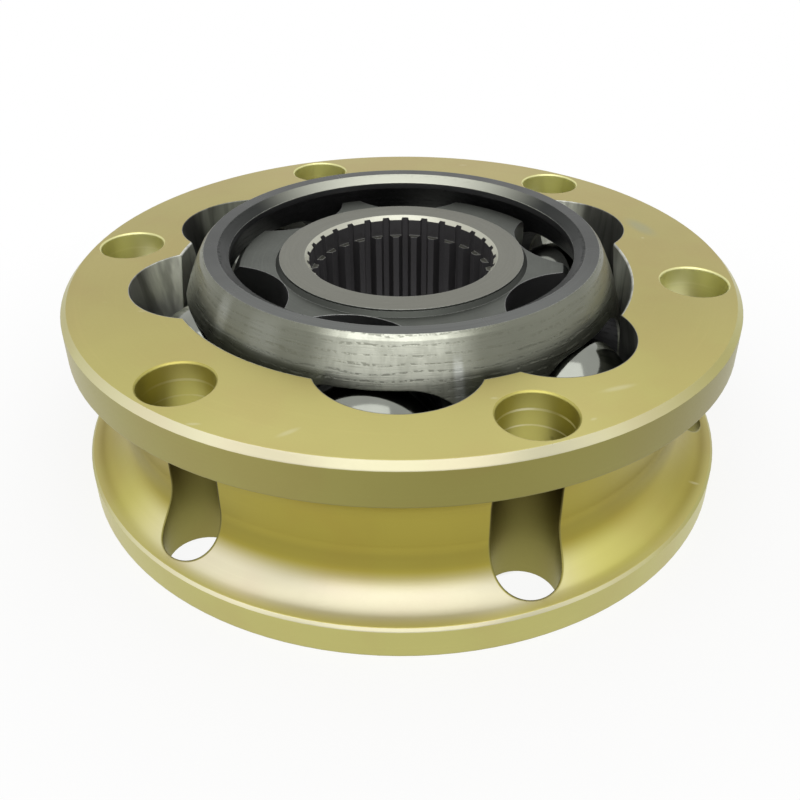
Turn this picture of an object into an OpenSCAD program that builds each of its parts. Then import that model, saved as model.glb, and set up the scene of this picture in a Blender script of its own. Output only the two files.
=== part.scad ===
// Race-type plunging constant velocity joint with crossed ball tracks.
// A spool-shaped outer race bolts between two flanges. Six balls, held in one plane by a
// cage, run in its leaning tracks and in the mirrored tracks of a splined inner race.
// The axis of the outer race is Z, and its lower face lies at z = 0.

/* [Outer race] */
// Outside diameter of both flanges
race_d = 108; // [106:0.5:114]
// Width of the race between its two faces
race_h = 32; // [30:0.5:35]
// Thickness of the upper flange at its rim
top_flange_t = 6.4; // [5:0.1:8]
// Thickness of the lower flange at its rim
base_flange_t = 4.8; // [4:0.1:7]
// Chamfer on the rim of the upper face
top_chamfer = 0.95; // [0.2:0.05:1.5]
// Chamfer on the upper corner of the lower rim
base_chamfer = 0.4; // [0.1:0.05:0.8]
// How far both flanges stand out past the turned neck
flange_reach = 7; // [6:0.1:7.5]
// Wall left between a ball track and the neck
neck_wall = 3.55; // [3:0.05:4.5]
// Radius of the fillets that run from the neck into the flanges
neck_fillet = 8; // [6:0.25:8.5]
// Chamfer round both ends of the bore
bore_chamfer = 0.25; // [0.15:0.05:1]

/* [Mounting bolts] */
// Distance from the rim of the race to the middle of each bolt hole
bolt_inset = 7; // [6.5:0.1:7.5]
// Diameter of each bolt hole
bolt_hole_d = 10.5; // [8.5:0.1:11]
// Chamfer on both ends of each bolt hole
bolt_chamfer = 0.25; // [0.1:0.05:0.5]

/* [Balls and tracks] */
// Diameter of each ball
ball_d = 22.22; // [21:0.02:22.6]
// Lean of each track away from the axis, in degrees
track_lean = 16; // [12:0.5:18]
// Gap between a ball and the wall of its tracks
track_play = 0.34; // [0.25:0.01:0.5]
// Height of the inner race above the middle of the outer race
plunge = 4.6; // [2:0.1:4.6]
// Direction of the first track, in degrees from X
first_track = -99.2; // [-120:0.1:-60]

/* [Cage] */
// Height of the cage
cage_h = 36.5; // [35:0.1:37]
// How far the ball-shaped outside of the cage lies beyond the ball centres
cage_reach = 4.9; // [4.5:0.1:5.5]
// Wall between the outside and the hollow of the cage
cage_wall = 4.7; // [4.4:0.1:5]
// How far the rings at both ends of the cage reach in past its hollow
cage_lip = 4.3; // [3.5:0.1:5]
// How far a chamfer narrows the end faces of the cage
cage_edge = 0.3; // [0.1:0.05:0.5]
// Width of the lead-in cone at each end of the cage
cage_lead_w = 1.7; // [0.8:0.1:2]
// Height of the lead-in cone at each end of the cage
cage_lead_h = 1.1; // [0.6:0.1:1.6]
// Gap between the cage and the bore of the outer race
cage_gap = 0.35; // [0.3:0.05:0.8]
// Gap above and below a ball in its window
window_play = 0.25; // [0.2:0.01:0.35]
// Room for a ball to travel to each side in its window
window_travel = 3.65; // [3.5:0.05:3.8]
// Radius of the corners of a window
window_corner = 9.5; // [6:0.1:10.4]
// Turn of the cage about the axis, away from the middle of its play, in degrees
cage_turn = 1.8; // [0:0.1:1.8]

/* [Inner race] */
// Width of the inner race across its hub rings
star_h = 26.6; // [25:0.1:28]
// Depth of the lobe faces below the hub rings
lobe_step = 1; // [0.8:0.05:2]
// Height of the upright edge of the hub rings, above a slope that runs down to the lobe faces
hub_edge = 0.35; // [0.2:0.05:0.6]
// Chamfer on the outer corners of the lobes
lobe_chamfer = 0.5; // [0.2:0.1:1]
// Gap between the lobes and the hollow of the cage
star_gap = 0.3; // [0.3:0.05:0.6]
// Land between a ball groove and the hub ring
hub_land = 0.55; // [0.3:0.05:1]

/* [Spline] */
// Number of teeth in the spline
spline_teeth = 28; // [24:1:33]
// Wall between the tooth spaces and the outside of the hub rings
hub_wall = 4.5; // [4.2:0.1:4.8]
// Depth of the tooth spaces
tooth_depth = 1.3; // [1:0.05:1.6]
// Width of a tooth space at the tooth tips
space_mouth_w = 2.1; // [1.8:0.05:2.2]
// Width of a tooth space at its bottom
space_floor_w = 1; // [0.8:0.05:1.2]
// How far the plain lead-in bores cut the teeth back from their tips
lead_cut = 0.95; // [0.6:0.05:1.05]
// Depth of the plain lead-in bores
lead_bore_h = 3.6; // [2:0.1:4.5]
// Chamfer round both ends of the spline bore
spline_chamfer = 0.7; // [0.3:0.05:1.2]

/* [Hidden] */
$fn = 96;

// Number of balls, tracks, windows and bolt holes
ball_count = 6;
// Angle from one track to the next
track_step = 360 / ball_count;
// Extra length that lets a cutting shape run past the faces it cuts
past = 1;

race_r = race_d / 2;
bolt_circle_r = race_r - bolt_inset;
ball_r = ball_d / 2;
track_r = ball_r + track_play;

// Heights of the middle of the outer race, of the joint centre and of the inner race
race_mid = race_h / 2;
joint_mid = race_mid + plunge / 2;
star_mid = race_mid + plunge;

// The tracks lie inside the neck by its wall, and they place the balls
neck_r = race_r - flange_reach;
ball_circle_r = neck_r - neck_wall - track_r;
fillet_r = neck_r + neck_fillet;
land_r = race_r - base_chamfer;
top_fillet_z = race_h - top_flange_t - fillet_drop(race_r);
base_fillet_z = base_flange_t + fillet_drop(land_r);

// The cage follows the balls, and sets the bore of the outer race and the size of the lobes
cage_r = ball_circle_r + cage_reach;
race_bore_r = cage_r + cage_gap;
cage_hollow_r = cage_r - cage_wall;
cage_mouth_r = cage_hollow_r - cage_lip;
cage_end_r = sqrt(cage_r * cage_r - cage_h * cage_h / 4) - cage_edge;
window_half_h = ball_r + window_play;
window_half_w = ball_r + window_travel;

star_r = cage_hollow_r - plunge / 2 - star_gap;
lobe_half_h = star_h / 2 - lobe_step;
lobe_edge_r = sqrt(star_r * star_r - lobe_half_h * lobe_half_h);
hub_r = ball_circle_r - track_r - hub_land;

// The tooth spaces leave a wall inside the hub rings
spline_root_r = hub_r - hub_wall;
spline_tip_r = spline_root_r - tooth_depth;
lead_bore_r = spline_tip_r + lead_cut;

// Height from the centre of a neck fillet to where it meets a given radius
function fillet_drop(r) = sqrt(neck_fillet * neck_fillet - (fillet_r - r) * (fillet_r - r));
// Direction of a track from the axis
function track_angle(i) = first_track + i * track_step;
// Neighbouring tracks lean opposite ways
function lean_side(i) = i % 2 == 0 ? 1 : -1;

// Straight round track through the ball circle, leaning along the circle
module ball_track(i, mid_z, side) {
    reach = race_h + 2 * past;
    translate([0, 0, mid_z])
        rotate([0, 0, track_angle(i)])
            translate([ball_circle_r, 0, 0])
                rotate([-side * lean_side(i) * track_lean, 0, 0])
                    cylinder(h = 2 * reach, r = track_r, center = true);
}

// Round groove between the flanges, straight in the middle and filleted at both ends
module neck_groove() {
    rotate_extrude() {
        translate([fillet_r, base_fillet_z]) circle(r = neck_fillet);
        translate([fillet_r, top_fillet_z]) circle(r = neck_fillet);
        translate([neck_r, base_fillet_z])
            square([2 * neck_fillet, top_fillet_z - base_fillet_z]);
    }
}

// Solid of revolution of the outer race before its holes are cut
module race_blank() {
    difference() {
        rotate_extrude()
            polygon([[0, 0], [race_r, 0], [race_r, base_flange_t - base_chamfer],
                     [land_r, base_flange_t], [land_r, race_mid], [race_r, race_mid],
                     [race_r, race_h - top_chamfer], [race_r - top_chamfer, race_h],
                     [0, race_h]]);
        neck_groove();
    }
}

// Through bore of the outer race with a chamfer at each face
module race_bore() {
    wide_r = race_bore_r + bore_chamfer + past;
    translate([0, 0, -past]) cylinder(h = race_h + 2 * past, r = race_bore_r);
    translate([0, 0, race_h - bore_chamfer])
        cylinder(h = bore_chamfer + past, r1 = race_bore_r, r2 = wide_r);
    translate([0, 0, -past])
        cylinder(h = bore_chamfer + past, r1 = wide_r, r2 = race_bore_r);
}

// Bolt hole through both flanges, which leaves a round slot in the neck
module bolt_hole() {
    hole_r = bolt_hole_d / 2;
    wide_r = hole_r + bolt_chamfer + past;
    translate([0, 0, -past]) cylinder(h = race_h + 2 * past, r = hole_r);
    translate([0, 0, race_h - bolt_chamfer])
        cylinder(h = bolt_chamfer + past, r1 = hole_r, r2 = wide_r);
    translate([0, 0, -past])
        cylinder(h = bolt_chamfer + past, r1 = wide_r, r2 = hole_r);
}

module outer_race() {
    color("darkkhaki")
        difference() {
            race_blank();
            race_bore();
            for (i = [0:ball_count - 1]) ball_track(i, race_mid, 1);
            for (i = [0:ball_count - 1])
                rotate([0, 0, track_angle(i) + track_step / 2])
                    translate([bolt_circle_r, 0, 0]) bolt_hole();
        }
}

// Window cutter along X, a rectangle with round corners
module window_cut() {
    flat_h = window_half_h - window_corner;
    flat_w = window_half_w - window_corner;
    translate([0, -window_half_w, -flat_h])
        cube([race_r, 2 * window_half_w, 2 * flat_h]);
    translate([0, -flat_w, -window_half_h])
        cube([race_r, 2 * flat_w, 2 * window_half_h]);
    for (y = [-flat_w, flat_w], z = [-flat_h, flat_h])
        translate([0, y, z]) rotate([0, 90, 0]) cylinder(h = race_r, r = window_corner);
}

// Hollow of the cage, ball-shaped inside, with a straight mouth and a cone at each end
module cage_hollow() {
    lead_r = cage_mouth_r + cage_lead_w;
    sphere(r = cage_hollow_r);
    cylinder(h = cage_h + 2 * past, r = cage_mouth_r, center = true);
    for (side = [0, 1])
        mirror([0, 0, side])
            translate([0, 0, cage_h / 2 - cage_lead_h])
                cylinder(h = cage_lead_h, r1 = cage_mouth_r, r2 = lead_r);
}

// Ball-shaped body of the cage between its two chamfered end faces
module cage_blank() {
    half_h = cage_h / 2;
    intersection() {
        sphere(r = cage_r);
        rotate_extrude()
            polygon([[0, -half_h], [cage_end_r, -half_h], [cage_end_r + half_h, 0],
                     [cage_end_r, half_h], [0, half_h]]);
    }
}

module ball_cage() {
    color("slategray")
        translate([0, 0, joint_mid])
            difference() {
                cage_blank();
                cage_hollow();
                for (i = [0:ball_count - 1])
                    rotate([0, 0, track_angle(i) + cage_turn]) window_cut();
            }
}

// Bore of the inner race with its tooth spaces, for a splined shaft.
// One tooth points at a bolt hole, so that the whole joint is its own mirror image.
module spline_bore() {
    inside_r = spline_tip_r - past;
    spline_step = 360 / spline_teeth;
    tooth_angle = track_angle(1) + track_step / 2;
    linear_extrude(height = star_h + 2 * past, center = true) {
        circle(r = spline_tip_r);
        for (k = [0:spline_teeth - 1])
            rotate(tooth_angle + (k + 0.5) * spline_step)
                polygon([[inside_r, -space_mouth_w / 2], [spline_tip_r, -space_mouth_w / 2],
                         [spline_root_r, -space_floor_w / 2],
                         [spline_root_r, space_floor_w / 2],
                         [spline_tip_r, space_mouth_w / 2], [inside_r, space_mouth_w / 2]]);
    }
}

// Plain lead-in bore with its chamfer, at the upper end of the spline
module spline_lead() {
    wide_r = lead_bore_r + spline_chamfer + past;
    translate([0, 0, star_h / 2 - lead_bore_h])
        cylinder(h = lead_bore_h + past, r = lead_bore_r);
    translate([0, 0, star_h / 2 - spline_chamfer])
        cylinder(h = spline_chamfer + past, r1 = lead_bore_r, r2 = wide_r);
}

// Round body of the inner race: ball-shaped lobes between two hub rings with sloping flanks
module star_blank() {
    slope = star_r - lobe_edge_r + 2 * lobe_chamfer;
    flat_r = lobe_edge_r - lobe_chamfer;
    edge_z = star_h / 2 - hub_edge;
    foot_r = hub_r + edge_z - lobe_half_h;
    intersection() {
        sphere(r = star_r);
        rotate_extrude()
            polygon([[0, -lobe_half_h], [flat_r, -lobe_half_h],
                     [flat_r + slope, slope - lobe_half_h],
                     [flat_r + slope, lobe_half_h - slope],
                     [flat_r, lobe_half_h], [0, lobe_half_h]]);
    }
    rotate_extrude()
        polygon([[0, -star_h / 2], [hub_r, -star_h / 2], [hub_r, -edge_z],
                 [foot_r, -lobe_half_h], [foot_r, lobe_half_h], [hub_r, edge_z],
                 [hub_r, star_h / 2], [0, star_h / 2]]);
}

module inner_race() {
    color("dimgray")
        difference() {
            translate([0, 0, star_mid]) star_blank();
            for (i = [0:ball_count - 1]) ball_track(i, star_mid, -1);
            translate([0, 0, star_mid]) {
                spline_bore();
                spline_lead();
                mirror([0, 0, 1]) spline_lead();
            }
        }
}

// Ball number i, where its two crossed tracks meet
module ball(i) {
    drift = lean_side(i) * tan(track_lean) * plunge / 2;
    color("lightgray")
        rotate([0, 0, track_angle(i)])
            translate([ball_circle_r, drift, joint_mid])
                sphere(r = ball_r);
}

outer_race();
ball_cage();
inner_race();
ball(0);  // ball_1
ball(1);  // ball_2
ball(2);  // ball_3
ball(3);  // ball_4
ball(4);  // ball_5
ball(5);  // ball_6
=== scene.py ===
"""Looks of a race-type constant velocity joint: its steel finishes, the floor, lights and camera."""
import math
from typing import NamedTuple

import bpy
from bpy.props import FloatProperty, FloatVectorProperty, PointerProperty
from bpy.types import Operator, Panel, PropertyGroup
from mathutils import Matrix, Vector


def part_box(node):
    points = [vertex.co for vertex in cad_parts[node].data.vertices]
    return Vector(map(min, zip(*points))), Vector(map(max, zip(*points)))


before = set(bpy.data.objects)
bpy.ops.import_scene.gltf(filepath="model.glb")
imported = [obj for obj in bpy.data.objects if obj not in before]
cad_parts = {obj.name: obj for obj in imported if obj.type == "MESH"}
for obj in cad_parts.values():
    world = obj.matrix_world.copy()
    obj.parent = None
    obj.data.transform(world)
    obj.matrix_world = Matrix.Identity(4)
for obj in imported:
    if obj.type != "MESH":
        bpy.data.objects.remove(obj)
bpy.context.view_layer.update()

bl_info = {
    "name": "Constant velocity joint",
    "version": (1, 0, 0),
    "blender": (4, 5, 0),
    "location": "3D View > Sidebar > CV joint",
    "description": "Finishes, floor, lights and camera for a race-type constant velocity joint",
    "category": "Object",
}

# Driving sizes of the joint in millimetres, those of the outer race taken from the frame
RIM_R = 1000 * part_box("outer_race")[1].y
RACE_H = 1000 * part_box("outer_race")[1].z
TOP_FLANGE_T = 6.4
BASE_FLANGE_T = 4.8
FLANGE_REACH = 7.0
NECK_WALL = 3.55
BORE_CHAMFER = 0.25
BOLT_INSET = 7.0
BOLT_HOLE_R = 5.25
BALL_COUNT = 6
BALL_R = 11.11
TRACK_PLAY = 0.34
TRACK_LEAN = math.radians(16.0)
FIRST_TRACK = math.radians(-99.2)
PLUNGE = 4.6
CAGE_H = 36.5
CAGE_REACH = 4.9
CAGE_GAP = 0.35
CAGE_LEAD_H = 1.1
STAR_H = 26.6
HUB_LAND = 0.55
HUB_RING_W = 4.85

# Sizes that follow from them. The tracks lie inside the neck and place the cage and the bore
SHOULDER_Z = RACE_H - TOP_FLANGE_T
NECK_R = RIM_R - FLANGE_REACH
BOLT_CIRCLE_R = RIM_R - BOLT_INSET
TRACK_STEP = 2 * math.pi / BALL_COUNT
TRACK_R = BALL_R + TRACK_PLAY
BALL_CIRCLE_R = NECK_R - NECK_WALL - TRACK_R
CAGE_R = BALL_CIRCLE_R + CAGE_REACH
BORE_R = CAGE_R + CAGE_GAP
HUB_R = BALL_CIRCLE_R - TRACK_R - HUB_LAND
LEAD_BORE_R = HUB_R - HUB_RING_W
RACE_MID = RACE_H / 2
JOINT_MID = RACE_MID + PLUNGE / 2
STAR_MID = RACE_MID + PLUNGE

BALL_NODES = tuple(f"ball_{number}" for number in range(1, BALL_COUNT + 1))

WHITE = (1.0, 1.0, 1.0, 1.0)


# Places round the joint. Its front lies at -90 degrees, its right at 0 and its back at 90

class Side(NamedTuple):
    """A side of the joint: its direction, half its width and its soft edge, in degrees."""

    middle: float
    half_width: float
    edge: float


class Patch(NamedTuple):
    """A long patch on a surface, in millimetres, turned about the vertical by radians."""

    place: tuple
    turn: float
    half_length: float
    half_width: float


# Sides where light and shade are painted into the finishes
FILLET_LIT = Side(-96.0, 32.0, 38.0)
FILLET_PALE = Side(-101.0, 22.0, 24.0)
FILLET_FRONT = Side(-90.0, 12.0, 18.0)
CHAMFER_PALE = Side(-99.0, 16.0, 52.0)
CHAMFER_FRONT = Side(-88.0, 13.0, 15.0)
FAR_HOLES = Side(82.0, 95.0, 8.0)
LEFT_TRACK = Side(-165.0, 20.0, 8.0)
BACK_LEFT_TRACK = Side(141.0, 14.0, 8.0)
CAGE_FRONT = Side(-92.0, 9.0, 13.0)

# Directions that upright surfaces face, in degrees, where painted light is brightest
FRONT = -90.0
RIGHT_OF_FRONT = -75.0
LEFT = -165.0

# Painted gleam (a painted highlight) on the fillet, and marks on the outer race: smears, a smudge, ledges
# painted pale as a painted highlight near the front hole, and a pit painted dark as painted shade
FILLET_GLEAM_TOP = BASE_FLANGE_T + 4.5
SMEARS = (
    Patch((28.0, -38.1, RACE_H), 0.35, 3.4, 0.7),
    Patch((-13.8, -47.5, RACE_H), 0.6, 2.2, 0.6),
    Patch((11.7, -40.3, RACE_H), 0.1, 0.7, 0.35),
    Patch((23.5, -45.0, RACE_H), 0.5, 0.7, 0.35),
)
SMUDGE = Patch((42.8, 14.3, RACE_H), -1.2, 5.5, 2.2)
NEAR_HOLE = Patch((24.0, -41.0, 28.0), 0.0, 16.0, 16.0)
PIT = Patch((20.0, -39.25, 25.2), 0.0, 0.7, 0.7)
UPPER_LEDGE_DEPTH = 2.8
LOWER_LEDGE_DEPTH = 5.35

# Upright scuffs on the cage, the last of them a painted highlight streak: side, height of the middle, half
# height, soft edge and strength
CAGE_SCUFFS_AND_STREAK = (
    (Side(-141.0, 0.6, 2.9), 33.6, 1.2, 2.4, 0.22),
    (Side(-125.5, 1.7, 5.2), 33.5, 1.5, 2.2, 0.12),
    # A painted highlight streak, not a scuff
    (Side(-77.3, 0.5, 1.1), 29.5, 2.4, 2.4, 0.65),
)

# Colours that darken or lighten a finish where it varies
CLOUDED = (0.86, 0.86, 0.8)
ROSY = (1.0, 0.93, 0.98)
LATHE_BRIGHT = (1.2, 1.2, 1.25)
# Painted shade: the next two darken the faces toward the back and the sides
FACE_BACK_SHADE = (0.79, 0.745, 0.745)
FACE_SIDES_SHADE = (0.94, 0.95, 0.87)
STREAKED = (0.35, 0.35, 0.34)
HONED = (0.75, 0.75, 0.74)
SHADED_TRACK = (0.48, 0.48, 0.47)

# Colours of marks, and of painted highlights on edges and a streak
SMUDGED = (0.3, 0.31, 0.2)
SCUFF_AND_HIGHLIGHT = (0.6, 0.62, 0.58)
EDGE_HIGHLIGHT_STEEL = (0.5, 0.51, 0.48)


# Shader maths

class Field:
    """A value that varies over a surface. Maths on it adds Math nodes to its material."""

    def __init__(self, shop, socket):
        self.shop = shop
        self.socket = socket

    def __add__(self, other):
        return self.shop.math("ADD", self, other)

    def __sub__(self, other):
        return self.shop.math("SUBTRACT", self, other)

    def __mul__(self, other):
        return self.shop.math("MULTIPLY", self, other)

    def __truediv__(self, other):
        return self.shop.math("DIVIDE", self, other)

    def __radd__(self, other):
        return self.shop.math("ADD", other, self)

    def __rsub__(self, other):
        return self.shop.math("SUBTRACT", other, self)

    def __rmul__(self, other):
        return self.shop.math("MULTIPLY", other, self)

    def __abs__(self):
        return self.shop.math("ABSOLUTE", self)


class Shop:
    """Builds the nodes of one material or world, with the places of a surface in millimetres."""

    def __init__(self, owner):
        self.owner = owner
        owner.use_nodes = True
        self.tree = owner.node_tree
        self.tree.nodes.clear()

    def node(self, kind, settings=(), sockets=(), output=0):
        """Adds a node, makes its settings, then fills its sockets, and gives one of its outputs."""
        made = self.tree.nodes.new(kind)
        for key, value in dict(settings).items():
            setattr(made, key, value)
        for key, value in dict(sockets).items():
            if isinstance(value, Field):
                self.tree.links.new(value.socket, made.inputs[key])
            else:
                made.inputs[key].default_value = value
        return Field(self, made.outputs[output]) if made.outputs else None

    def start_place(self):
        """Splits the object's own coordinates into x, y, z, radius and direction."""
        coordinate = self.node("ShaderNodeTexCoord", output="Object")
        self.place = self.node(
            "ShaderNodeVectorMath", {"operation": "SCALE"}, {0: coordinate, "Scale": 1000.0}
        )
        self.x, self.y, self.z = (
            self.node("ShaderNodeSeparateXYZ", sockets={0: self.place}, output=axis)
            for axis in range(3)
        )
        self.r = self.length(self.x, self.y)
        self.turn = self.math("ARCTAN2", self.y, self.x)
        self.normal = self.node("ShaderNodeTexCoord", output="Normal")
        self.up = self.node("ShaderNodeSeparateXYZ", sockets={0: self.normal}, output="Z")

    # Values

    def math(self, operation, *values):
        return self.node("ShaderNodeMath", {"operation": operation}, dict(enumerate(values)))

    def most(self, a, b):
        return self.math("MAXIMUM", a, b)

    def length(self, a, b):
        """Length of the vector (a, b)."""
        return self.math("SQRT", a * a + b * b)

    def dot(self, first, second):
        settings = {"operation": "DOT_PRODUCT"}
        return self.node("ShaderNodeVectorMath", settings, {0: first, 1: second}, "Value")

    def combine(self, x, y, z):
        return self.node("ShaderNodeCombineXYZ", sockets={0: x, 1: y, 2: z})

    def between(self, factor, first, second):
        """Mixes two values by a factor."""
        return self.node("ShaderNodeMix", {"data_type": "FLOAT"}, {0: factor, 2: first, 3: second})

    def step(self, value, start, end):
        """Rises smoothly from 0 at start to 1 at end, which may lie below start."""
        if start > end:
            return 1 - self.step(value, end, start)
        return self.node(
            "ShaderNodeMapRange",
            {"interpolation_type": "SMOOTHSTEP"},
            {"Value": value, "From Min": start, "From Max": end},
        )

    def band(self, value, middle, half_width, edge):
        """1 within half_width of the middle, falling to 0 over the edge beyond it."""
        return self.step(abs(value - middle), half_width + edge, half_width)

    # Colours

    def blend(self, factor, first, second, how="MIX"):
        """Mixes two colours by a factor."""
        settings = {"data_type": "RGBA", "blend_type": how, "clamp_factor": True}
        return self.node("ShaderNodeMix", settings, {0: factor, 6: first, 7: second}, 2)

    def tinted(self, factor, colour, tint):
        """Multiplies a colour by a tint, by a factor."""
        return self.blend(factor, colour, rgba(tint), "MULTIPLY")

    # Textures

    def noise(self, vector, scale, detail=3.0, roughness=0.55):
        return self.node(
            "ShaderNodeTexNoise",
            sockets={"Vector": vector, "Scale": scale, "Detail": detail, "Roughness": roughness},
        )

    def stretched(self, across, upward, detail, roughness=0.55):
        """Noise with one scale across and another up the axis, both per millimetre."""
        vector = self.combine(self.x * across, self.y * across, self.z * upward)
        return self.noise(vector, 1.0, detail, roughness)

    def turned(self, along, pitch, breaks, shift=0.0):
        """Lathe marks: fine steps along one measure, which break up round the axis."""
        around = self.combine(
            along * (1.0 / pitch) + shift,
            self.x / self.r * breaks,
            self.y / self.r * breaks,
        )
        return self.noise(around, 1.0, 2.0, 0.6)

    def specks(self, size, share, seed, reach):
        """Small spots, of a given reach, in a share of the cells of a grid of the given sizes."""
        laid = self.node(
            "ShaderNodeMapping",
            sockets={
                "Vector": self.place,
                "Location": (seed, seed * 1.7, seed * 0.6),
                "Scale": tuple(1.0 / length for length in size),
            },
        )
        settings = {"feature": "F1"}
        sockets = {"Vector": laid, "Scale": 1.0, "Randomness": 1.0}
        distance = self.node("ShaderNodeTexVoronoi", settings, sockets, "Distance")
        colour = self.node("ShaderNodeTexVoronoi", settings, sockets, "Color")
        pick = self.node("ShaderNodeSeparateColor", sockets={0: colour}, output=0)
        return self.step(distance, reach, reach * 0.4) * self.step(pick, share, share * 0.8)

    def scratches(self, angle, width, share, seed, length=9.0):
        """Short straight scratches that lie about one way."""
        laid = self.node(
            "ShaderNodeMapping",
            sockets={
                "Vector": self.place,
                "Rotation": (0.0, 0.0, angle),
                "Location": (seed, seed * 0.3, 0.0),
                "Scale": (1.0 / length, 1.0 / width, 1.0 / length),
            },
        )
        return self.step(self.noise(laid, 1.0, 1.0, 0.5), 1.0 - share, 1.0 - share * 0.6)

    # Places on the joint

    def side(self, where):
        """1 on one side of the joint, with soft edges."""
        turn = self.turn - math.radians(where.middle) + 3 * math.pi
        away = abs(self.math("FLOORED_MODULO", turn, 2 * math.pi) - math.pi)
        start = math.radians(where.half_width + where.edge)
        return self.step(away, start, math.radians(where.half_width))

    def facing(self, degrees, start, end):
        """Rises from 0 to 1 as upright surfaces turn toward one direction round the joint."""
        turn = math.radians(degrees)
        return self.step(self.dot(self.normal, (math.cos(turn), math.sin(turn), 0.0)), start, end)

    def patch(self, where):
        """1 along the middle of a long patch, fading to 0 at its ends and sides."""
        laid = self.node(
            "ShaderNodeMapping",
            {"vector_type": "TEXTURE"},
            {
                "Vector": self.place,
                "Location": where.place,
                "Rotation": (0.0, 0.0, where.turn),
                "Scale": (where.half_length, where.half_width, where.half_width),
            },
        )
        distance = self.node("ShaderNodeVectorMath", {"operation": "LENGTH"}, {0: laid}, "Value")
        return self.step(distance, 1.0, 0.2)

    def track_gap(self, mid_z, lean_side):
        """Distance from the axis of the nearest leaning ball track."""
        turn = self.turn - (FIRST_TRACK - TRACK_STEP / 2) + 4 * math.pi
        within = self.math("FLOORED_MODULO", turn, TRACK_STEP) - TRACK_STEP / 2
        pair = self.math("FLOORED_MODULO", turn, 2 * TRACK_STEP)
        lean = (1 - 2 * self.math("GREATER_THAN", pair, TRACK_STEP)) * lean_side
        out = self.r * self.math("COSINE", within) - BALL_CIRCLE_R
        across = self.r * self.math("SINE", within) * math.cos(TRACK_LEAN)
        rise = (self.z - mid_z) * math.sin(TRACK_LEAN) * lean
        return self.length(out, across - rise)

    def tracks(self, mid_z, lean_side):
        """1 in the ball tracks of a race whose middle lies at the given height."""
        return self.step(self.track_gap(mid_z, lean_side), TRACK_R + 0.12, TRACK_R + 0.04)

    def hole_gap(self):
        """Distance from the axis of the nearest bolt hole."""
        turn = self.turn - FIRST_TRACK + 4 * math.pi
        within = self.math("FLOORED_MODULO", turn, TRACK_STEP) - TRACK_STEP / 2
        out = self.r * self.math("COSINE", within) - BOLT_CIRCLE_R
        return self.length(out, self.r * self.math("SINE", within))

    # Edges and relief

    def rounded(self, radius):
        """The surface's direction with its sharp edges rounded off."""
        return self.node("ShaderNodeBevel", {"samples": 6}, {"Radius": radius / 1000.0})

    def edges(self, radius, low, high):
        """1 on sharp edges: where rounding the edge turns the surface."""
        plain = self.node("ShaderNodeNewGeometry", output="Normal")
        return self.step(1 - self.dot(self.rounded(radius), plain), low, high)

    def relief(self, height, distance, strength, radius):
        """Bump from a height in millimetres, over edges rounded to a radius."""
        return self.node(
            "ShaderNodeBump",
            sockets={
                "Height": height,
                "Distance": distance / 1000.0,
                "Strength": strength,
                "Normal": self.rounded(radius),
            },
        )

    # Shaders

    def seen(self):
        """1 for the rays that bring the background to the camera, straight or off a surface."""
        camera, glossy, through = (
            self.node("ShaderNodeLightPath", output=f"Is {kind} Ray")
            for kind in ("Camera", "Glossy", "Transmission")
        )
        return self.most(camera, self.most(glossy, through))

    def metal(self, colour, roughness, normal, coat=0.0):
        """Ends the material in a metal, which may have a clear gloss over it."""
        shader = self.node(
            "ShaderNodeBsdfPrincipled",
            sockets={
                "Base Color": colour,
                "Metallic": 1.0,
                "Roughness": roughness,
                "Normal": normal,
                "Coat Weight": coat,
                "Coat Roughness": 0.3,
            },
        )
        self.node("ShaderNodeOutputMaterial", sockets={"Surface": shader})
        return self.owner


def material_shop(name):
    """Starts the nodes of a new material."""
    shop = Shop(bpy.data.materials.new(name))
    shop.start_place()
    return shop


def rgba(colour, factor=1.0):
    return tuple(channel * factor for channel in colour) + (1.0,)


def wear(node, material):
    """Gives a CAD piece one material on all of its slots."""
    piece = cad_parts[node]
    if not piece.material_slots:
        piece.data.materials.append(material)
    for slot in piece.material_slots:
        slot.material = material


# Sizes and colours that a user would change

def colour_property(name, description, default):
    return FloatVectorProperty(
        name=name, description=description, default=default, subtype="COLOR", size=3, min=0.0, max=1.0
    )


def share_property(name, description, default):
    return FloatProperty(
        name=name, description=description, default=default, subtype="FACTOR", min=0.0, max=1.0
    )


class CVJ_race_finish(PropertyGroup):
    """Finish of the outer race"""

    coating: colour_property("Coating", "Colour of the gold coating on the faces", (0.555, 0.5, 0.175))
    # Painted shade: the upper rim and the neck are darker copies of the coating
    rim: colour_property("Upper rim", "Coating round the upper flange", (0.27, 0.245, 0.066))
    foot: colour_property("Lower rim", "Coating round the lower flange", (0.5, 0.47, 0.16))
    neck: colour_property("Neck", "Coating in the neck", (0.37, 0.31, 0.05))
    # The fillet colours are a painted highlight, palest at the front
    painted_sheen: colour_property("Fillet front", "Coating at the front of the fillet", (0.5, 0.465, 0.33))
    painted_sheen_side: colour_property("Fillet sides", "Coating beside that front", (0.66, 0.615, 0.185))
    holes: colour_property("Bolt holes", "Coating in the bolt holes", (0.48, 0.44, 0.13))
    # Painted light on the far bolt holes and painted shade in the slots
    painted_light_far_holes: colour_property("Far bolt holes", "Coating in the holes at the back", (0.72, 0.71, 0.36))
    slots: colour_property("Bolt slots", "Coating in the neck's bolt slots", (0.062, 0.049, 0.012))
    # The chamfer colour is a painted highlight, palest at the front
    chamfer: colour_property("Chamfers", "Coating on the chamfers", (0.465, 0.44, 0.3))
    # The worn colour is also the ledges' painted highlight and partly a painted edge highlight
    worn: colour_property("Worn edges", "Coating where it is worn thin", (0.72, 0.69, 0.48))
    # Ground and dull steel are lit and shaded copies of the track steel: painted highlight and painted shade
    bare: colour_property("Ground steel", "Tracks where they are polished", (0.97, 0.98, 0.89))
    dull: colour_property("Dull steel", "Tracks and bore elsewhere", (0.22, 0.22, 0.21))
    roughness: share_property("Roughness", "Roughness of the coating", 0.42)
    bare_roughness: share_property("Bare roughness", "Roughness of the ground steel", 0.45)
    coat: share_property("Gloss", "Weight of the clear gloss on the coating", 0.2)


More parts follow.
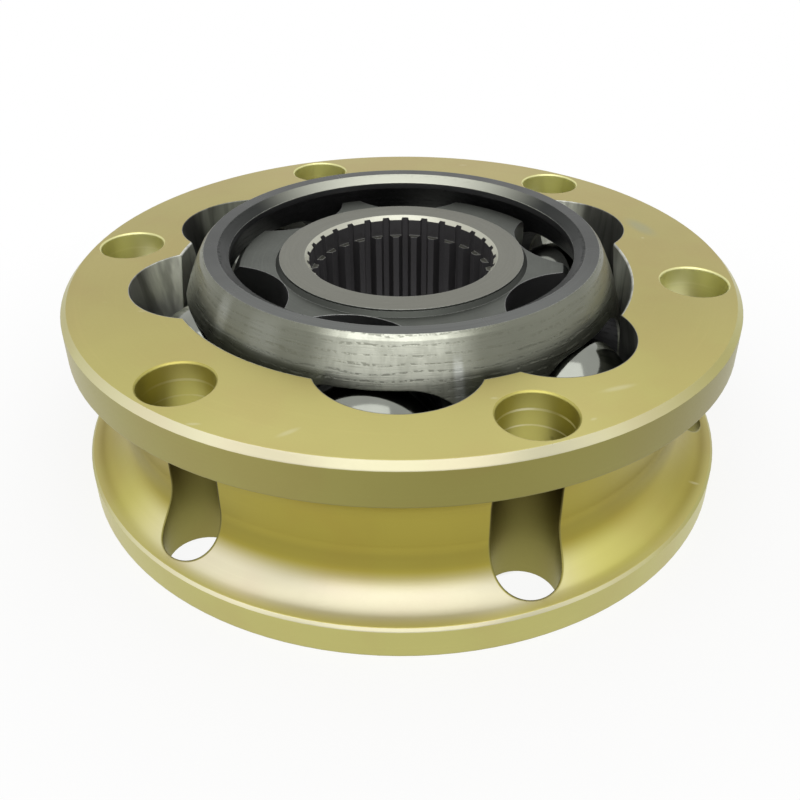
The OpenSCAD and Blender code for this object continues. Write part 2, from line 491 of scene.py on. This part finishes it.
class CVJ_cage_finish(PropertyGroup):
    """Finish of the cage"""

    steel: colour_property("Steel", "Colour of the turned outside", (0.185, 0.19, 0.15))
    # The polished colour is a painted highlight on the outside's front and on cones facing the front
    polished: colour_property("Polished steel", "Outside where it is polished", (0.48, 0.49, 0.415))
    # Painted shade: faces, cones and inside are darker copies of the steel, the faces most toward the back
    face: colour_property("Faces", "Colour of the end faces", (0.13, 0.135, 0.128))
    cone: colour_property("Cones", "Colour of the lead-in cones", (0.033, 0.035, 0.033))
    inside: colour_property("Inside", "Colour of the hollow and the windows", (0.075, 0.075, 0.077))
    roughness: share_property("Roughness", "Roughness of the turned outside", 0.3)
    mark_pitch: FloatProperty(
        name="Mark pitch",
        description="Distance between the lathe marks on the outside",
        default=0.00115,
        unit="LENGTH",
    )


class CVJ_star_finish(PropertyGroup):
    """Finish of the inner race"""

    steel: colour_property("Steel", "Colour of the hardened lobes", (0.115, 0.122, 0.108))
    hub: colour_property("Hub ring", "Colour of the ground hub rings", (0.19, 0.19, 0.16))
    groove: colour_property("Grooves", "Colour of the ball grooves", (0.16, 0.16, 0.163))
    spline: colour_property("Spline", "Colour of the spline teeth", (0.095, 0.092, 0.095))
    roughness: share_property("Roughness", "Roughness of the lobes", 0.45)


class CVJ_ball_finish(PropertyGroup):
    """Finish of the balls"""

    steel: colour_property("Steel", "Colour of the polished steel", (0.25, 0.26, 0.23))
    roughness: share_property("Roughness", "Roughness of the polished steel", 0.12)


class CVJ_studio(PropertyGroup):
    """Floor, lights and camera"""

    floor: colour_property("Floor", "Colour of the floor", (0.93, 0.93, 0.93))
    sky: FloatProperty(name="Sky", description="Strength of the light from all round", default=0.62, min=0.0)
    softbox: FloatProperty(
        name="Softbox", description="Power of the soft light above the front", default=2.9, unit="POWER"
    )
    lens: FloatProperty(name="Lens", description="Focal length of the camera", default=40.59, unit="CAMERA")
    camera_height: FloatProperty(
        name="Camera height",
        description="Height of the camera above the floor",
        default=0.09625,
        unit="LENGTH",
    )
    camera_back: FloatProperty(
        name="Camera distance",
        description="Distance of the camera in front of the axis",
        default=0.13571,
        unit="LENGTH",
    )
    look_down: FloatProperty(
        name="Look down",
        description="Angle that the camera looks down by",
        default=math.radians(31.33),
        subtype="ANGLE",
    )


# Outer race

class RaceParts:
    """Surfaces of the outer race: each mask is 1 on its own part and 0 elsewhere."""

    def __init__(self, shop):
        self.flat = shop.step(abs(shop.up), 0.85, 0.98)
        wall = 1 - self.flat
        slant = shop.step(abs(shop.up), 0.2, 0.45) * wall
        self.tracks = shop.tracks(RACE_MID, 1.0)
        bore_end = BORE_R + BORE_CHAMFER
        self.bare = shop.most(self.tracks, shop.step(shop.r, bore_end + 0.1, bore_end))
        self.neck = shop.step(shop.r, RIM_R - 0.6, RIM_R - 1.4) * wall
        self.holes = shop.step(shop.hole_gap(), BOLT_HOLE_R + 0.35, BOLT_HOLE_R + 0.1) * wall
        self.slots = self.holes * shop.step(shop.z, SHOULDER_Z - 1.5, SHOULDER_Z - 5.5)
        self.chamfers = slant * shop.step(shop.r, RIM_R - 1.3, RIM_R - 1.0)
        self.above_foot = shop.step(shop.z, BASE_FLANGE_T - 0.3, BASE_FLANGE_T - 0.05)
        outside = shop.step(shop.r, NECK_R - 0.6, NECK_R - 0.2) * (1 - self.holes)
        # Where the painted highlight on the lower fillet lies
        below_top = shop.step(shop.z, FILLET_GLEAM_TOP, FILLET_GLEAM_TOP - 2.7)
        within_rim = shop.step(shop.r, RIM_R - 0.4, RIM_R - 2.3)
        self.fillet = below_top * within_rim * self.above_foot * outside
        # Where a ring of painted shade lies above the fillet
        self.painted_dark_ring = shop.band(shop.z, FILLET_GLEAM_TOP + 1.1, 0.5, 1.4) * outside


def race_coating(shop, look, parts, marks, tint):
    """Gold coating, paler on faces; painted highlights on the chamfers, the fillet, the far bolt holes and
    the rim's left side; painted shade on the rim, in the neck and the ring above the fillet, in the slots
    and toward the back and sides of the faces.
    """
    # Painted shade on the upper rim and in the neck
    gold = shop.blend(parts.above_foot, rgba(look.foot), rgba(look.rim))
    # Painted light: the rim lighter where it faces left
    gold = shop.blend(shop.facing(LEFT, 0.1, 0.9) * 0.3, gold, rgba(look.coating))
    gold = shop.blend(parts.flat, gold, rgba(look.coating))
    gold = shop.blend(parts.neck, gold, rgba(look.neck))
    # Painted shade: a darker ring above the fillet
    gold = shop.blend(parts.painted_dark_ring * 0.3, gold, rgba(look.neck, 0.5))

    # Painted highlight on the fillet: pale at its front, golden beside it
    fillet = shop.blend(shop.side(FILLET_LIT), rgba(look.neck, 0.9), rgba(look.painted_sheen_side))
    fillet = shop.blend(shop.side(FILLET_PALE), fillet, rgba(look.painted_sheen, 1.5))
    fillet = shop.blend(shop.side(FILLET_FRONT), fillet, rgba(look.painted_sheen))
    gold = shop.blend(parts.fillet, gold, fillet)

    # Painted shade in the slots, least toward their foot; painted light on the far bolt holes
    gold = shop.blend(parts.holes, gold, rgba(look.holes))
    gold = shop.blend(parts.holes * shop.side(FAR_HOLES), gold, rgba(look.painted_light_far_holes))
    gold = shop.blend(parts.slots, gold, rgba(look.slots))
    down_slots = parts.slots * shop.step(shop.z, RACE_MID + 3.0, BASE_FLANGE_T + 0.2)
    gold = shop.blend(down_slots * 0.5, gold, rgba(look.holes))

    # Painted highlight on the chamfers, palest at the front
    chamfer = shop.blend(shop.side(CHAMFER_PALE), rgba(look.foot, 0.85), rgba(look.chamfer, 1.75))
    chamfer = shop.blend(shop.side(CHAMFER_FRONT), chamfer, rgba(look.chamfer))
    gold = shop.blend(parts.chamfers, gold, chamfer)

    cloud = shop.noise(shop.place, 0.045, 3.0, 0.5)
    gold = shop.tinted(shop.step(cloud, 0.35, 0.65) * 0.3, gold, CLOUDED)
    gold = shop.tinted(shop.step(tint, 0.45, 0.65) * 0.4, gold, ROSY)
    gold = shop.tinted(shop.step(marks, 0.55, 0.75) * 0.1, gold, LATHE_BRIGHT)
    # Painted shade: the faces darker toward the back and at the sides
    gold = shop.tinted(shop.step(shop.y, -50.0, -4.0) * parts.flat, gold, FACE_BACK_SHADE)
    return shop.tinted(shop.step(abs(shop.x), 18.0, 34.0) * parts.flat, gold, FACE_SIDES_SHADE)


def race_ledges(shop, parts, tint):
    """Two fine ledges in the bolt holes, bumped and painted pale as a painted highlight, plainest in the
    front one.
    """
    upper = shop.band(shop.z, RACE_H - UPPER_LEDGE_DEPTH, 0.12, 0.12)
    lower = shop.band(shop.z, RACE_H - LOWER_LEDGE_DEPTH, 0.08, 0.1) * 0.8
    near = 0.2 + 0.8 * shop.patch(NEAR_HOLE)
    return shop.most(upper, lower) * parts.holes * near * shop.step(tint, 0.35, 0.5)


def race_steel(shop, look, parts, hone):
    """Ground steel of the bore and tracks, streaked along the tracks, with painted light and painted shade
    by the way the walls face.
    """
    # Painted highlight on track walls facing right of the front, partly on the bore; painted light on the
    # left track, painted shade on the back-left one
    painted_highlight = shop.most(shop.facing(RIGHT_OF_FRONT, 0.55, 0.8), (1 - parts.tracks) * 0.6)
    dull = shop.blend(shop.side(LEFT_TRACK), rgba(look.dull), rgba(look.dull, 1.7))
    steel = shop.blend(painted_highlight, dull, rgba(look.bare))
    steel = shop.tinted(shop.side(BACK_LEFT_TRACK), steel, SHADED_TRACK)
    streaks = shop.stretched(0.42, 0.03, 2.0, 0.5)
    steel = shop.tinted(shop.step(streaks, 0.55, 0.35) * 0.6, steel, STREAKED)
    return shop.tinted(shop.step(hone, 0.35, 0.65) * 0.3, steel, HONED)


class CVJ_OT_outer_race(Operator):
    """Coat the outer race in satin gold and leave its bore and ball tracks bare"""

    bl_idname = "cvjoint.outer_race"
    bl_label = "Outer race"

    def execute(self, context):
        look = context.scene.cvj_race
        shop = material_shop("gold_coated_steel")
        parts = RaceParts(shop)
        tint = shop.noise(shop.place, 0.09, 2.0, 0.5)
        grain = shop.noise(shop.place, 2.4, 3.0, 0.6)
        hone = shop.stretched(2.2, 0.2, 2.0)
        marks = shop.between(parts.flat, shop.turned(shop.z, 0.45, 1.6), shop.turned(shop.r, 0.55, 1.6))
        gold = race_coating(shop, look, parts, marks, tint)

        # Wear and painted light: thin edges, partly wear and partly a painted edge highlight, nicks, a few
        # pale smears, the ledges' painted highlight, a smudge, and a pit painted dark as painted shade
        edge = shop.edges(0.25, 0.04, 0.22) * (0.4 + grain * 0.6) * shop.most(parts.flat, parts.chamfers)
        round_nicks = shop.specks((4.2, 4.2, 4.2), 0.14, 11.0, 0.09)
        long_nicks = shop.specks((6.5, 1.8, 6.5), 0.08, 23.0, 0.2)
        nicks = shop.most(round_nicks, long_nicks)
        light = shop.most(nicks * 0.3 * parts.flat, edge * 0.3)
        for smear in SMEARS:
            light = shop.most(light, shop.patch(smear) * 0.3)
        gold = shop.blend(light, gold, rgba(look.worn))
        ledges = race_ledges(shop, parts, tint)
        gold = shop.blend(ledges, gold, rgba(look.worn, 1.25))
        smudge = shop.patch(SMUDGE) * (0.4 + grain * 0.6) * parts.flat
        gold = shop.blend(smudge * 0.75, gold, rgba(SMUDGED))
        # Painted shade: the pit is painted dark
        pit = shop.patch(PIT)
        gold = shop.blend(pit, gold, rgba(look.slots, 0.3))

        colour = shop.blend(parts.bare, gold, race_steel(shop, look, parts, hone))
        rough = look.roughness - parts.neck * 0.08 - parts.chamfers * 0.1 + (grain - 0.5) * 0.1
        rough_bare = look.bare_roughness + (hone - 0.5) * 0.15
        roughness = shop.between(parts.bare, rough + parts.holes * 0.1, rough_bare)
        height = marks * 0.4 + grain * 0.25 - nicks * 0.3 + ledges - pit
        plain = (1 - parts.bare) * (1 - shop.most(parts.holes, parts.chamfers))
        coat = plain * (look.coat + parts.fillet * shop.side(FILLET_FRONT) * 0.4)
        wear("outer_race", shop.metal(colour, roughness, shop.relief(height, 0.02, 0.5, 0.3), coat))
        return {"FINISHED"}


# Cage

class CageParts:
    """Surfaces of the cage: each mask is 1 on its own part and 0 elsewhere."""

    def __init__(self, shop):
        from_mid = shop.z - JOINT_MID
        self.flat = shop.step(abs(shop.up), 0.9, 0.98)
        self.outside = shop.step(shop.length(shop.r, from_mid), CAGE_R - 0.5, CAGE_R - 0.35)
        inner = (1 - self.flat) * (1 - self.outside)
        cone_foot = CAGE_H / 2 - CAGE_LEAD_H
        self.cone = shop.step(abs(from_mid), cone_foot - 0.15, cone_foot) * inner
        self.hollow = inner * (1 - self.cone)


def cage_lines(shop, pitch, parts):
    """Turned rings one pitch apart, which waver and break up round the axis."""
    waver = shop.stretched(0.12, 0.5, 1.0)
    wave = shop.math("SINE", shop.z * (2 * math.pi / pitch) + waver * 7.0)
    breaks = shop.stretched(1.5, 1.7, 2.0, 0.6)
    return shop.step(wave, 0.45, 0.98) * shop.step(breaks, 0.43, 0.58) * (1 - parts.flat)


def cage_outside(shop, look, parts, cloud, lines, fine):
    """Turned steel with a painted highlight patch at its front, which has streaks down it."""
    streaks = shop.stretched(0.8, 0.05, 2.0, 0.6)
    painted_highlight = shop.side(CAGE_FRONT) * parts.outside * (0.75 + shop.step(streaks, 0.35, 0.6) * 0.25)
    steel = shop.blend(cloud, rgba(look.steel, 0.85), rgba(look.steel, 1.12))
    steel = shop.blend(painted_highlight, steel, rgba(look.polished))
    steel = shop.blend(lines * (0.12 + painted_highlight * 0.42), steel, rgba(look.steel, 0.5))
    return shop.blend(shop.step(fine, 0.55, 0.75) * 0.3, steel, rgba(look.steel, 0.7))


class CVJ_OT_ball_cage(Operator):
    """Finish the cage as turned steel, dark in its hollow and windows"""

    bl_idname = "cvjoint.ball_cage"
    bl_label = "Cage"

    def execute(self, context):
        look = context.scene.cvj_cage
        shop = material_shop("cage_steel")
        parts = CageParts(shop)
        lines = cage_lines(shop, 1000 * look.mark_pitch, parts)
        fine = shop.turned(shop.z, 0.18, 7.0, 5.0)
        rings = shop.turned(shop.r, 0.3, 2.0)
        cloud = shop.noise(shop.place, 0.12, 3.0, 0.5)
        grain = shop.noise(shop.place, 3.0, 3.0, 0.6)
        steel = cage_outside(shop, look, parts, cloud, lines, fine)

        # Painted shade: end faces darker toward the back, and a dark hollow; painted highlight: cones bright
        # where they face the front
        face = shop.blend(rings, rgba(look.face, 0.85), rgba(look.face, 1.15))
        face = shop.blend(shop.step(shop.y, -30.0, 2.0) * 0.75, face, rgba(look.cone))
        inside = shop.blend(cloud, rgba(look.inside, 0.7), rgba(look.inside, 1.3))
        colour = shop.blend(parts.flat, steel, face)
        colour = shop.blend(parts.hollow, colour, inside)
        colour = shop.blend(parts.cone, colour, rgba(look.cone))
        colour = shop.blend(parts.cone * shop.facing(FRONT, 0.25, 0.55), colour, rgba(look.polished))

        # Wear and painted light: pale edges, partly wear and partly a painted edge highlight, scuffs and a
        # painted highlight streak
        light = shop.edges(0.25, 0.02, 0.14) * shop.step(grain, 0.3, 0.55) * 0.5
        for side, middle, half_height, edge, strength in CAGE_SCUFFS_AND_STREAK:
            upright_mark = shop.side(side) * shop.band(shop.z, middle, half_height, edge)
            light = shop.most(light, upright_mark * strength * parts.outside)
        colour = shop.blend(light, colour, rgba(SCUFF_AND_HIGHLIGHT))

        rough = look.roughness + (fine - 0.5) * 0.2 + lines * 0.15
        rough = rough + parts.hollow * 0.15 + parts.cone * 0.1
        height = rings * parts.flat * 0.6 + fine * 0.4 - lines * 0.5 + grain * 0.2
        wear("ball_cage", shop.metal(colour, rough, shop.relief(height, 0.03, 0.7, 0.2)))
        return {"FINISHED"}


# Inner race

class StarParts:
    """Surfaces of the inner race: each mask is 1 on its own part and 0 elsewhere."""

    def __init__(self, shop):
        from_mid = abs(shop.z - STAR_MID)
        end = STAR_H / 2
        self.flat = shop.step(abs(shop.up), 0.9, 0.98)
        wall = 1 - self.flat
        self.hub_rings = self.flat * shop.step(from_mid, end - 0.3, end - 0.1)
        self.grooves = shop.tracks(STAR_MID, -1.0)
        within = shop.step(shop.r, LEAD_BORE_R + 2.2, LEAD_BORE_R + 1.8)
        self.bore = within * shop.step(abs(shop.up), 0.35, 0.2)
        self.tooth_ends = self.flat * shop.step(shop.r, LEAD_BORE_R + 0.1, LEAD_BORE_R + 0.02)
        self.chamfer = within * wall * (1 - self.bore)
        hub_side = shop.band(shop.r, HUB_R + 0.4, 0.6, 0.2)
        self.flank = hub_side * shop.band(from_mid, end - 0.7, 0.3, 0.1) * wall


class CVJ_OT_inner_race(Operator):
    """Finish the inner race as dark hardened steel with ground hub rings"""

    bl_idname = "cvjoint.inner_race"
    bl_label = "Inner race"

    def execute(self, context):
        look = context.scene.cvj_star
        shop = material_shop("inner_steel")
        parts = StarParts(shop)
        cloud = shop.noise(shop.place, 0.2, 3.0, 0.5)
        grain = shop.noise(shop.place, 2.6, 4.0, 0.6)
        rings = shop.turned(shop.r, 0.28, 2.2)

        steel = shop.blend(cloud, rgba(look.steel, 0.8), rgba(look.steel, 1.2))
        ring_share = shop.step(rings, 0.5, 0.75) * parts.flat * 0.3
        steel = shop.blend(ring_share, steel, rgba(look.steel, 1.4))
        hub = shop.blend(rings, rgba(look.hub, 0.85), rgba(look.hub, 1.12))
        colour = shop.blend(parts.hub_rings, steel, hub)
        colour = shop.blend(parts.grooves, colour, rgba(look.groove))
        colour = shop.blend(parts.bore, colour, rgba(look.spline))
        colour = shop.blend(parts.tooth_ends, colour, rgba(look.hub, 1.2))
        colour = shop.blend(parts.chamfer, colour, rgba(look.hub, 2.6))
        # Painted shade in the crease where the hub rings meet the lobes
        colour = shop.blend(parts.flank, colour, rgba(look.steel, 0.5))
        # Painted highlight on sharp edges
        edge = shop.edges(0.22, 0.02, 0.14) * shop.step(grain, 0.3, 0.55) * (1 - parts.bore)
        colour = shop.blend(edge * 0.55, colour, rgba(EDGE_HIGHLIGHT_STEEL))

        rough = look.roughness + (grain - 0.5) * 0.2 - parts.hub_rings * 0.06 + parts.bore * 0.15
        height = rings * parts.flat * 0.6 + grain * 0.4
        wear("inner_race", shop.metal(colour, rough, shop.relief(height, 0.025, 0.6, 0.18)))
        return {"FINISHED"}


# Balls

class CVJ_OT_balls(Operator):
    """Polish the six balls"""

    bl_idname = "cvjoint.balls"
    bl_label = "Balls"

    def execute(self, context):
        look = context.scene.cvj_ball
        shop = material_shop("ball_steel")
        cloud = shop.noise(shop.place, 0.25, 3.0, 0.5)
        grain = shop.noise(shop.place, 1.8, 3.0, 0.6)
        scuffs = shop.most(shop.scratches(0.3, 0.12, 0.3, 5.0), shop.scratches(1.4, 0.12, 0.28, 29.0))
        steel = shop.blend(cloud, rgba(look.steel, 0.85), rgba(look.steel, 1.1))
        colour = shop.blend(scuffs * 0.3, steel, rgba(look.steel, 0.6))
        rough = look.roughness + (grain - 0.5) * 0.08 + scuffs * 0.12
        material = shop.metal(colour, rough, shop.relief(grain, 0.002, 0.3, 0.05))
        for node in BALL_NODES:
            wear(node, material)
        return {"FINISHED"}


# Studio, with sizes and places in metres

FLOOR_R = 1.6
FLOOR_CORNERS = 64
FLOOR_Z = -0.0001
SOFTBOX_PLACE = Vector((0.0, -0.352, 0.662))
SOFTBOX_TARGET = Vector((0.0, 0.0, 0.02))
SOFTBOX_SIZE = (0.76, 0.95)
CAMERA_X = -0.00029
CAMERA_ROLL = math.radians(-0.25)
CAMERA_SHIFT = -0.0536


class CVJ_OT_studio(Operator):
    """Lay the white floor and set the lights and the camera"""

    bl_idname = "cvjoint.studio"
    bl_label = "Floor, lights and camera"

    def execute(self, context):
        look = context.scene.cvj_studio
        scene = context.scene
        self.lay_floor(scene, look)
        self.light_sky(scene, look)
        self.hang_softbox(scene, look)
        self.place_camera(scene, look)
        scene.view_settings.view_transform = "Standard"
        return {"FINISHED"}

    @staticmethod
    def lay_floor(scene, look):
        """Round white floor, with a faint shadow close to the object, fainter under its holes."""
        turns = [2 * math.pi * corner / FLOOR_CORNERS for corner in range(FLOOR_CORNERS)]
        rim = [(FLOOR_R * math.cos(turn), FLOOR_R * math.sin(turn), FLOOR_Z) for turn in turns]
        mesh = bpy.data.meshes.new("floor")
        mesh.from_pydata(rim, [], [tuple(range(FLOOR_CORNERS))])
        floor = bpy.data.objects.new("floor", mesh)
        scene.collection.objects.link(floor)

        shop = material_shop("floor_paper")
        paper = shop.node("ShaderNodeBsdfDiffuse", sockets={"Color": rgba(look.floor)})
        glow = shop.node("ShaderNodeEmission", sockets={"Color": WHITE, "Strength": 1.0})
        away = shop.step(shop.r, RIM_R, 2.4 * RIM_R)
        under_holes = shop.band(shop.r, BOLT_CIRCLE_R, 5.0, 1.0)
        share = shop.most(0.8 + 0.2 * away, under_holes * 0.9)
        mixed = shop.node("ShaderNodeMixShader", sockets={0: shop.seen() * share, 1: paper, 2: glow})
        shop.node("ShaderNodeOutputMaterial", sockets={"Surface": mixed})
        floor.data.materials.append(shop.owner)

    @staticmethod
    def light_sky(scene, look):
        """Even light from all round, in front of a white background."""
        scene.world = bpy.data.worlds.new("studio_sky")
        shop = Shop(scene.world)
        light = shop.node("ShaderNodeBackground", sockets={"Color": WHITE, "Strength": look.sky})
        white = shop.node("ShaderNodeBackground", sockets={"Color": WHITE, "Strength": 1.0})
        mixed = shop.node("ShaderNodeMixShader", sockets={0: shop.seen(), 1: light, 2: white})
        shop.node("ShaderNodeOutputWorld", sockets={"Surface": mixed})

    @staticmethod
    def hang_softbox(scene, look):
        lamp = bpy.data.lights.new("softbox", "AREA")
        lamp.shape = "RECTANGLE"
        lamp.size, lamp.size_y = SOFTBOX_SIZE
        lamp.energy = look.softbox
        hung = bpy.data.objects.new("softbox", lamp)
        scene.collection.objects.link(hung)
        hung.location = SOFTBOX_PLACE
        hung.rotation_euler = (SOFTBOX_TARGET - SOFTBOX_PLACE).to_track_quat("-Z", "Y").to_euler()

    @staticmethod
    def place_camera(scene, look):
        camera = bpy.data.cameras.new("camera")
        camera.sensor_width = 36.0
        camera.lens = look.lens
        camera.shift_y = CAMERA_SHIFT
        camera.clip_start = 0.01
        held = bpy.data.objects.new("camera", camera)
        scene.collection.objects.link(held)
        forward = Vector((0.0, math.cos(look.look_down), -math.sin(look.look_down)))
        level = Vector((1.0, 0.0, 0.0))
        upright = level.cross(forward)
        right = math.cos(CAMERA_ROLL) * level + math.sin(CAMERA_ROLL) * upright
        up = math.cos(CAMERA_ROLL) * upright - math.sin(CAMERA_ROLL) * level
        held.matrix_world = Matrix((right, up, -forward)).transposed().to_4x4()
        held.location = (CAMERA_X, -look.camera_back, look.camera_height)
        scene.camera = held


class CVJ_PT_joint(Panel):
    """Lists the joint's pieces and its studio"""

    bl_label = "CV joint"
    bl_idname = "CVJ_PT_joint"
    bl_space_type = "VIEW_3D"
    bl_region_type = "UI"
    bl_category = "CV joint"

    def draw(self, context):
        for operator, group in STEPS:
            box = self.layout.box()
            box.operator(operator.bl_idname)
            settings = getattr(context.scene, group)
            for key in type(settings).__annotations__:
                box.prop(settings, key)


STEPS = (
    (CVJ_OT_outer_race, "cvj_race"),
    (CVJ_OT_ball_cage, "cvj_cage"),
    (CVJ_OT_inner_race, "cvj_star"),
    (CVJ_OT_balls, "cvj_ball"),
    (CVJ_OT_studio, "cvj_studio"),
)
GROUPS = {
    "cvj_race": CVJ_race_finish,
    "cvj_cage": CVJ_cage_finish,
    "cvj_star": CVJ_star_finish,
    "cvj_ball": CVJ_ball_finish,
    "cvj_studio": CVJ_studio,
}


def register():
    for name, group in GROUPS.items():
        bpy.utils.register_class(group)
        setattr(bpy.types.Scene, name, PointerProperty(type=group))
    for operator, _ in STEPS:
        bpy.utils.register_class(operator)
    bpy.utils.register_class(CVJ_PT_joint)


def unregister():
    bpy.utils.unregister_class(CVJ_PT_joint)
    for operator, _ in reversed(STEPS):
        bpy.utils.unregister_class(operator)
    for name, group in reversed(GROUPS.items()):
        delattr(bpy.types.Scene, name)
        bpy.utils.unregister_class(group)


def main():
    register()
    bpy.ops.cvjoint.outer_race()
    bpy.ops.cvjoint.ball_cage()
    bpy.ops.cvjoint.inner_race()
    bpy.ops.cvjoint.balls()
    bpy.ops.cvjoint.studio()


if __name__ == "__main__":
    main()
